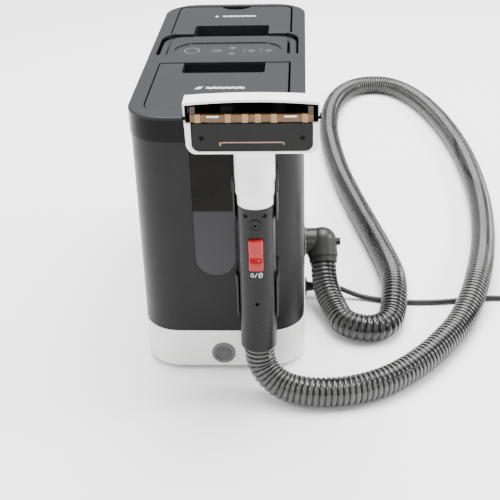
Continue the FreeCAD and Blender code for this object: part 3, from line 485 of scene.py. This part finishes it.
def make_floor():
    s = Shader("studio_floor")
    s.set(Base_Color=s.mix(s.noise(3.0), (0.90, 0.90, 0.90, 1.0), (0.93, 0.93, 0.93, 1.0)))
    s.set(Roughness=0.75, Specular_IOR_Level=0.2)
    size = 14.0
    corners = [(-size, -size, 0), (size, -size, 0), (size, size, 0), (-size, size, 0)]
    floor = new_mesh("floor", corners, [(0, 1, 2, 3)], s.mat, smooth=False)


def make_light():
    world = bpy.data.worlds.new("studio")
    bpy.context.scene.world = world
    world.use_nodes = True
    background = world.node_tree.nodes["Background"]
    background.inputs["Color"].default_value = (0.97, 0.98, 1.0, 1.0)
    background.inputs["Strength"].default_value = 0.85
    lamps = [  # name, place, size, power
        ("overhead", (0.1, 0.7, 3.0), 2.4, 360.0),
        ("left", (-2.4, -0.7, 2.0), 0.9, 36.0),
        ("right", (2.4, 0.2, 1.7), 0.8, 70.0),
        ("front", (0.25, -1.9, 1.15), 0.12, 7.0),
    ]
    target = Vector((0, 0, 0.15))
    for name, spot, size, power in lamps:
        data = bpy.data.lights.new(name, "AREA")
        data.shape = "SQUARE"
        data.size = size
        data.energy = power
        lamp = bpy.data.objects.new(name, data)
        lamp.location = spot
        lamp.rotation_mode = "QUATERNION"
        lamp.rotation_quaternion = (Vector(spot) - target).to_track_quat("Z", "Y")
        bpy.context.scene.collection.objects.link(lamp)


# ---- hose ----------------------------------------------------------------------------------
RIB_PITCH = 0.0064
RIB_PROFILE = [  # share of the pitch, share of the rib's height
    (0.00, 0.0), (0.10, 0.1), (0.20, 0.92), (0.50, 1.0), (0.80, 0.92), (0.90, 0.1),
]
DARK_ROWS = (0, 1, 4, 5)
RIB_HEIGHT = 0.0014
HOSE_SIDES = 28
# painted shade: where the darkened stretch of hose lies
SHADED_MIDDLE, SHADED_REACH = 0.50, 0.58  # along the hose from the elbow
WATER_TUBE_WIDTH = 0.22                   # radians round the hose


def make_hose(mats):
    """The corrugated hose: one rib that winds round the route as a screw thread does."""
    line = spline_curve("hose_line", HOSE_ROUTE)
    points = curve_points(line)
    bpy.data.objects.remove(line)
    track = Track(points)
    steps = len(RIB_PROFILE)
    rows = (int(track.length / RIB_PITCH) + 1) * steps
    verts, inner, shaded_stretch = [], [], []
    for row in range(-steps, rows + 1):
        step, spot = divmod(row, steps)
        share, height = RIB_PROFILE[spot]
        radius = HOSE_D / 2 - RIB_HEIGHT * (1 - height)
        for j in range(HOSE_SIDES):
            s = (step + share + j / HOSE_SIDES) * RIB_PITCH
            centre, side, up = track.at(s)
            angle = 2 * math.pi * j / HOSE_SIDES
            verts.append(centre + (side * math.cos(angle) + up * math.sin(angle)) * radius)
            tube_angle = 1.9 + 0.9 * math.sin(s * 7.0) + 0.35 * math.sin(s * 23.0)
            apart = abs((angle - tube_angle + math.pi) % (2 * math.pi) - math.pi)
            inner.append(min(1.0, max(0.0, 1.5 - apart / WATER_TUBE_WIDTH)))
            # weight of the painted shade along the stretch by the elbow
            shaded_stretch.append(max(0.0, 1 - ((s - SHADED_MIDDLE) / SHADED_REACH) ** 4))
    count = rows + steps
    faces, dark = [], []
    for row in range(count):
        for j in range(HOSE_SIDES):
            shift = steps if j == HOSE_SIDES - 1 else 0
            if row + 1 + shift > count:
                continue
            here, ahead = row * HOSE_SIDES, (row + 1) * HOSE_SIDES
            turn = shift * HOSE_SIDES + (j + 1) % HOSE_SIDES
            faces.append((here + j, here + turn, ahead + turn, ahead + j))
            dark.append(row % steps in DARK_ROWS)
    piece = new_mesh("suction_hose", verts, faces, [mats["hose_rib"], mats["hose_groove"]])
    piece.data.polygons.foreach_set("material_index", [int(d) for d in dark])
    for name, values in (("inner_tube", inner), ("shaded_stretch", shaded_stretch)):
        marks = piece.data.attributes.new(name, "FLOAT", "POINT")
        marks.data.foreach_set("value", values)
    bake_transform(piece)
    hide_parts("hose")


# ---- mains cord ----------------------------------------------------------------------------
def coil_turns():
    """Four stacked layers of flat spiral, wound inwards and outwards by turns."""
    turns_per_layer, per_turn = 3.4, 14
    outer, inner = 0.0545, 0.0305
    steps = round(turns_per_layer * per_turn)
    made = []
    angle = math.radians(-90)
    for layer in range(4):
        z = CORD_D / 2 + layer * CORD_D
        for i in range(steps):
            share = i / steps
            radius = outer + (inner - outer) * (share if layer % 2 == 0 else 1 - share)
            lift = 0.0
            if layer < 3 and share > 0.9:
                lift = CORD_D * (share - 0.9) / 0.1 * 0.5
            x = COIL_X + radius * math.cos(angle)
            y = COIL_Y + radius * math.sin(angle)
            made.append((x, y, z + lift))
            angle += 2 * math.pi / per_turn
    return made


def make_cord(mats):
    piece = spline_curve("mains_cord", CORD_ROUTE + coil_turns() + TAIL_ROUTE)
    piece.data.bevel_depth = CORD_D / 2
    piece.data.bevel_resolution = 4
    piece.data.resolution_u = 6
    piece.data.use_fill_caps = True
    piece.data.materials.append(mats["cord"])
    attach(piece, "base")
    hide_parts("power_cord", "power_cord_tail", "cord_coil")


def make_gland(mats):
    """Mains inlet: a dished flange and a tapered relief with ribs along it."""
    profile = [
        (-4.6, 7.4), (0.0, 7.4), (0.0, 12.0), (0.5, 12.5), (1.6, 12.5), (2.4, 11.6), (2.6, 7.6), (3.4, 6.9),
    ]
    for i in range(6):
        start = 4.2 + i * 3.6
        radius = 6.9 - i * 0.38
        profile += [(start, radius), (start + 1.9, radius - 0.2)]
        profile += [(start + 2.2, radius - 1.1), (start + 3.3, radius - 1.1)]
    profile += [(25.6, 4.6), (26.4, 4.1)]
    piece = revolve("cord_relief", place(99.6, 172, 17), (1, 0, 0), profile, mats["cord"], 40)
    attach(piece, "base")
    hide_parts("cord_gland")


# ---- wand trigger --------------------------------------------------------------------------
def make_trigger(mats):
    """A rocker with a thumb hollow, two pads and softly rounded borders."""
    low, high = 178.9, 218.1
    mid, half_h, half_w = (low + high) / 2, (high - low) / 2, 8.1
    front_y, back_y = -64.6, -55.0
    border, corner = 2.2, 2.8

    def depth(x, z):
        """How far the face lies behind the trigger's frontmost plane."""
        t = (z + half_h) / (2 * half_h)
        hollow = 2.6 * math.exp(-((t - 0.42) / 0.11) ** 2) + 0.9 * math.exp(-((t - 0.66) / 0.2) ** 2)
        crown = 0.9 * (abs(x) / half_w) ** 2.5
        edge = min(half_w - abs(x), half_h - abs(z))
        fall = 1.7 * max(0.0, 1 - edge / border) ** 2
        return hollow + crown + fall

    columns, rows = 24, 56
    verts, faces = [], []
    for i in range(rows + 1):
        z = -half_h + 2 * half_h * i / rows
        nearness = max(0.0, (abs(z) - (half_h - corner)) / corner)
        reach = half_w - corner * (1 - math.sqrt(max(0.0, 1 - nearness ** 2)))
        for j in range(columns + 1):
            x = -reach + 2 * reach * j / columns
            verts.append(wand_place(x, front_y + depth(x, z), mid + z))
    front = len(verts)
    verts += [Vector((v.x, place(0, back_y, 0).y, v.z)) for v in verts]
    wide = columns + 1
    for i in range(rows):
        for j in range(columns):
            a = i * wide + j
            faces.append((a, a + 1, a + wide + 1, a + wide))
            faces.append((front + a, front + a + wide, front + a + wide + 1, front + a + 1))
    rim = list(range(wide))
    rim += [i * wide + columns for i in range(1, rows + 1)]
    rim += [rows * wide + j for j in range(columns - 1, -1, -1)]
    rim += [i * wide for i in range(rows - 1, 0, -1)]
    for a, b in zip(rim, rim[1:] + rim[:1]):
        faces.append((a, b, front + b, front + a))
    piece = new_mesh("trigger_pad", verts, faces, mats["trigger"])
    fix_normals(piece)
    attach(piece, "trigger_lever")
    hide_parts("trigger")


# ---- printed symbols and small details -----------------------------------------------------
class Print:
    """Flat printed symbols on one surface; to_surface maps (u, v) millimetres to the shared frame."""

    def __init__(self, to_surface):
        self.to_surface = to_surface
        self.verts, self.faces = [], []

    def strip(self, inner, outer, closed=False):
        start = len(self.verts)
        count = len(inner)
        self.verts += [self.to_surface(*p) for p in inner] + [self.to_surface(*p) for p in outer]
        for i in range(count if closed else count - 1):
            k = (i + 1) % count
            self.faces.append((start + i, start + k, start + count + k, start + count + i))

    def line(self, points, width):
        left, right = [], []
        for i, (u, v) in enumerate(points):
            a, b = points[max(i - 1, 0)], points[min(i + 1, len(points) - 1)]
            du, dv = b[0] - a[0], b[1] - a[1]
            size = math.hypot(du, dv)
            nu, nv = -dv / size * width / 2, du / size * width / 2
            left.append((u + nu, v + nv))
            right.append((u - nu, v - nv))
        self.strip(left, right)

    def arc(self, u, v, radius, width, start=0.0, end=360.0, squeeze=1.0):
        steps = max(8, int((end - start) / 12))
        angles = [math.radians(start + (end - start) * i / steps) for i in range(steps + 1)]
        self.line([(u + radius * math.cos(a), v + squeeze * radius * math.sin(a)) for a in angles], width)

    def drop(self, u, v, size, width=None):
        """A water drop, point upwards; outlined when a width is given."""
        half = size / 2
        points = [(u, v + size)]
        points += [(u + half * math.cos(math.radians(a)), v + half * math.sin(math.radians(a)))
                   for a in range(30, -211, -15)]
        points.append((u, v + size))
        if width:
            self.line(points, width)
        else:
            self.strip([(u, v)] * len(points), points)

    def wave(self, u0, u1, v, height, length, width):
        across = u1 - u0
        steps = int(across / length * 10)
        turns = 2 * math.pi * across / length
        shares = [i / steps for i in range(steps + 1)]
        self.line([(u0 + across * t, v + height * math.sin(turns * t)) for t in shares], width)

    def make(self, name, material, body):
        piece = new_mesh(name, self.verts, self.faces, material, smooth=False)
        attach(piece, body)


def flat_at(height):
    return lambda u, v: place(u, v, height + INK)


def make_symbols(mats):
    clean = Print(flat_at(LID))
    clean.drop(-25.0, 387.0, 4.6)
    clean.wave(-17.0, 30.0, 389.6, 1.0, 7.8, 1.3)
    clean.wave(-17.0, 30.0, 386.0, 1.0, 7.8, 1.3)
    clean.make("clean_water_symbol", mats["ink"], "clean_lid_body")

    waste = Print(flat_at(LID))
    waste.drop(-24.5, 93.5, 4.6, 1.2)
    waste.line([(-29.0, 90.5), (-20.0, 99.0)], 1.2)
    waste.wave(-16.0, 29.0, 96.0, 1.0, 7.5, 1.3)
    waste.wave(-16.0, 29.0, 92.4, 1.0, 7.5, 1.3)
    waste.make("waste_water_symbol", mats["ink"], "waste_lid_body")

    panel = Print(flat_at(DECK))
    panel.arc(-46.0, 235.0, 9.4, 1.0, -60, 290, 1.15)
    panel.line([(-41.0, 236.5), (-36.0, 236.5)], 1.0)
    for u, v in ((-12.0, 234.0), (6.0, 244.5), (6.0, 221.5), (31.0, 232.5), (53.0, 232.0)):
        panel.arc(u, v, 3.6, 0.7, 0, 360, 1.1)
        panel.arc(u, v, 1.2, 0.8)
    for u in (-18.5, 21.5, 43.0):
        for v in (226.0, 230.0, 234.0, 238.0):
            panel.line([(u, v), (u, v + 2.2)], 0.7)
    for u in (-50.0, 51.0):
        panel.arc(u, 261.0, 0.7, 0.9)
    panel.make("panel_symbols", mats["faint_ink"], "base")

    grip_radius = 21.06

    def on_wand(u, v):
        angle = u / grip_radius
        return wand_place(grip_radius * math.sin(angle), -40.0 - grip_radius * math.cos(angle), v)

    grip = Print(on_wand)
    grip.drop(-4.6, 172.0, 3.4, 0.5)
    grip.line([(-1.4, 169.8), (0.6, 175.4)], 0.5)
    grip.arc(4.6, 173.2, 2.3, 0.5)
    grip.line([(2.9, 173.2), (6.3, 173.2)], 0.5)
    for u in (3.2, 4.6, 6.0):
        grip.line([(u, 169.2), (u, 170.4)], 0.5)
    grip.make("wand_symbols", mats["ink"], "wand")


def make_plate_seal(mats):
    """The coppery edge of the seal that shows in the plate's slot."""
    bars = [  # left, right, bottom, top
        (-31.2, 31.2, 338.5, 339.8), (-33.0, -31.4, 335.6, 339.4), (31.4, 32.6, 336.6, 339.4),
    ]
    verts, faces = [], []
    for x0, x1, z0, z1 in bars:
        start = len(verts)
        for y in (-78.9, -77.7):
            verts += [wand_place(x, y, z) for x, z in ((x0, z0), (x1, z0), (x1, z1), (x0, z1))]
        faces += [(start, start + 1, start + 2, start + 3)]
        faces += [(start + 7, start + 6, start + 5, start + 4)]
        for i in range(4):
            k = (i + 1) % 4
            faces.append((start + i, start + 4 + i, start + 4 + k, start + k))
    piece = new_mesh("plate_seal_edge", verts, faces, mats["seal_edge"], smooth=False)
    fix_normals(piece)
    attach(piece, "nozzle")


# ---- materials of the carried-over nodes ---------------------------------------------------
def make_materials():
    return {
        "base": moulded("base_white", srgb(236, 235, 232), 0.34, 0.12, 0.5, 0.015, coat=0.15),
        "housing": moulded("housing_grey", srgb(24, 24, 25), 0.34, 0.3, 0.3, 0.08, shine=0.16),
        "cover": moulded("cover_grey", srgb(31, 32, 34), 0.42, 0.35, 0.3, 0.08, shine=0.2),
        # the second colour is painted shade for the cover's glossy side strip
        "top_cover": cover_with_shaded_band("top_cover", srgb(33, 34, 36), srgb(8, 7, 6)),
        "handle": moulded("handle_black", srgb(24, 24, 26), 0.22, 0.1, 0.3, 0.06, shine=0.35),
        "panel": moulded("panel_film", srgb(31, 32, 34), 0.3, 0.06, 0.3, 0.03, shine=0.26),
        "inner": moulded("inner_grey", srgb(60, 60, 60), 0.55),
        "wand": moulded("wand_grey", srgb(20, 20, 21), 0.3, 0.1, 0.3, 0.08, shine=0.18, edge=0.0),
        "trigger": moulded("trigger_red", srgb(150, 0, 4), 0.2, 0.04, 0.3, 0.05, coat=0.5, shine=0.12),
        "nozzle": nozzle_shell("nozzle_white", srgb(246, 246, 244)),
        "plate": moulded("plate_black", srgb(22, 23, 21), 0.38, 1.0, 0.9, 0.3, shine=0.18),
        "cradle": moulded("cradle_black", srgb(24, 24, 25), 0.38, shine=0.25),
        "elbow": moulded("elbow_grey", srgb(46, 46, 44), 0.34, 0.2, 0.3, 0.1, shine=0.3),
        "button": moulded("button_grey", srgb(84, 84, 85), 0.2, 0.05, 0.3, 0.08, coat=0.4),
        "button_dark": moulded("button_dark", srgb(66, 66, 68), 0.2, 0.05, 0.3, 0.15, coat=0.5),
        "amber": amber_strip("amber_clear"),
        "window": window_pane("window_smoke"),
        "tank": clear_plastic("tank_smoke", srgb(70, 70, 72), 0.55),
        "liner": moulded("liner_black", srgb(12, 12, 11), 0.6, shine=0.05),
        "steel": metal("steel", (0.035, 0.034, 0.033, 1.0), 0.3),
        "bright_steel": metal("bright_steel", (0.6, 0.6, 0.6, 1.0), 0.3),
        # screws coloured near black as painted shade of their recesses
        "screw_recess_shade": metal("screw_recess_shade", (0.012, 0.012, 0.012, 1.0), 0.3),
        "brass": metal("brass_blade", (0.75, 0.6, 0.32, 1.0), 0.25),
        "aluminium": metal("fan_aluminium", (0.7, 0.7, 0.7, 1.0), 0.35),
        "board": moulded("circuit_green", srgb(28, 92, 48), 0.5),
        "float": moulded("float_white", srgb(200, 200, 196), 0.5),
        "foot": rubber("foot_rubber", srgb(30, 30, 30)),
        "seal": rubber("seal_rubber", srgb(30, 30, 30)),
        "cord": rubber("cord_black", srgb(18, 18, 18), 0.42),
        "hose_rib": hose_wall("hose_rib", srgb(74, 74, 72), srgb(18, 18, 18)),
        "hose_groove": hose_wall("hose_groove", srgb(12, 12, 12), srgb(8, 8, 8)),
        "ink": moulded("print_white", srgb(232, 233, 235), 0.5, 0.05),
        "faint_ink": moulded("print_grey", srgb(96, 98, 101), 0.5, 0.05),
        "seal_edge": moulded("seal_edge_copper", srgb(150, 122, 108), 0.4, 0.1),
    }


SLOT_MATERIAL = {
    "base_white": "base", "foot_rubber": "foot", "steel": "steel", "housing_grey": "housing",
    "window_smoke": "window", "cover_grey": "cover", "panel_gloss": "panel", "circuit_green": "board",
    "inner_grey": "inner", "handle_black": "handle", "tank_smoke": "tank", "lid_grey": "cover",
    "seal_rubber": "seal", "float_white": "float", "fan_aluminium": "aluminium",
    "motor_steel": "bright_steel", "button_grey": "button", "button_dark": "button_dark",
    "cradle_black": "cradle", "wand_grey": "wand", "trigger_red": "trigger", "nozzle_white": "nozzle",
    "plate_black": "plate", "amber_clear": "amber", "elbow_grey": "elbow", "cord_black": "cord",
    "hose_grey": "hose_rib", "tie_black": "seal", "brass_blade": "brass",
}
NODE_MATERIAL = {
    "mouth_liner": "liner", "top_cover": "top_cover",
    # near-black screws stand for painted shade in their recesses
    "wand_screws": "screw_recess_shade", "nozzle_screws": "screw_recess_shade",
}


def dress_nodes(mats):
    for entry in frame["record"]["subparts"]:
        name = entry["node"]
        key = NODE_MATERIAL.get(name, SLOT_MATERIAL[entry["material_slot"]])
        for slot in frame["nodes"][name].material_slots:
            slot.material = mats[key]


make_camera()
make_floor()
make_light()
mats = make_materials()
dress_nodes(mats)
make_hose(mats)
make_cord(mats)
make_gland(mats)
make_trigger(mats)
make_symbols(mats)
make_plate_seal(mats)
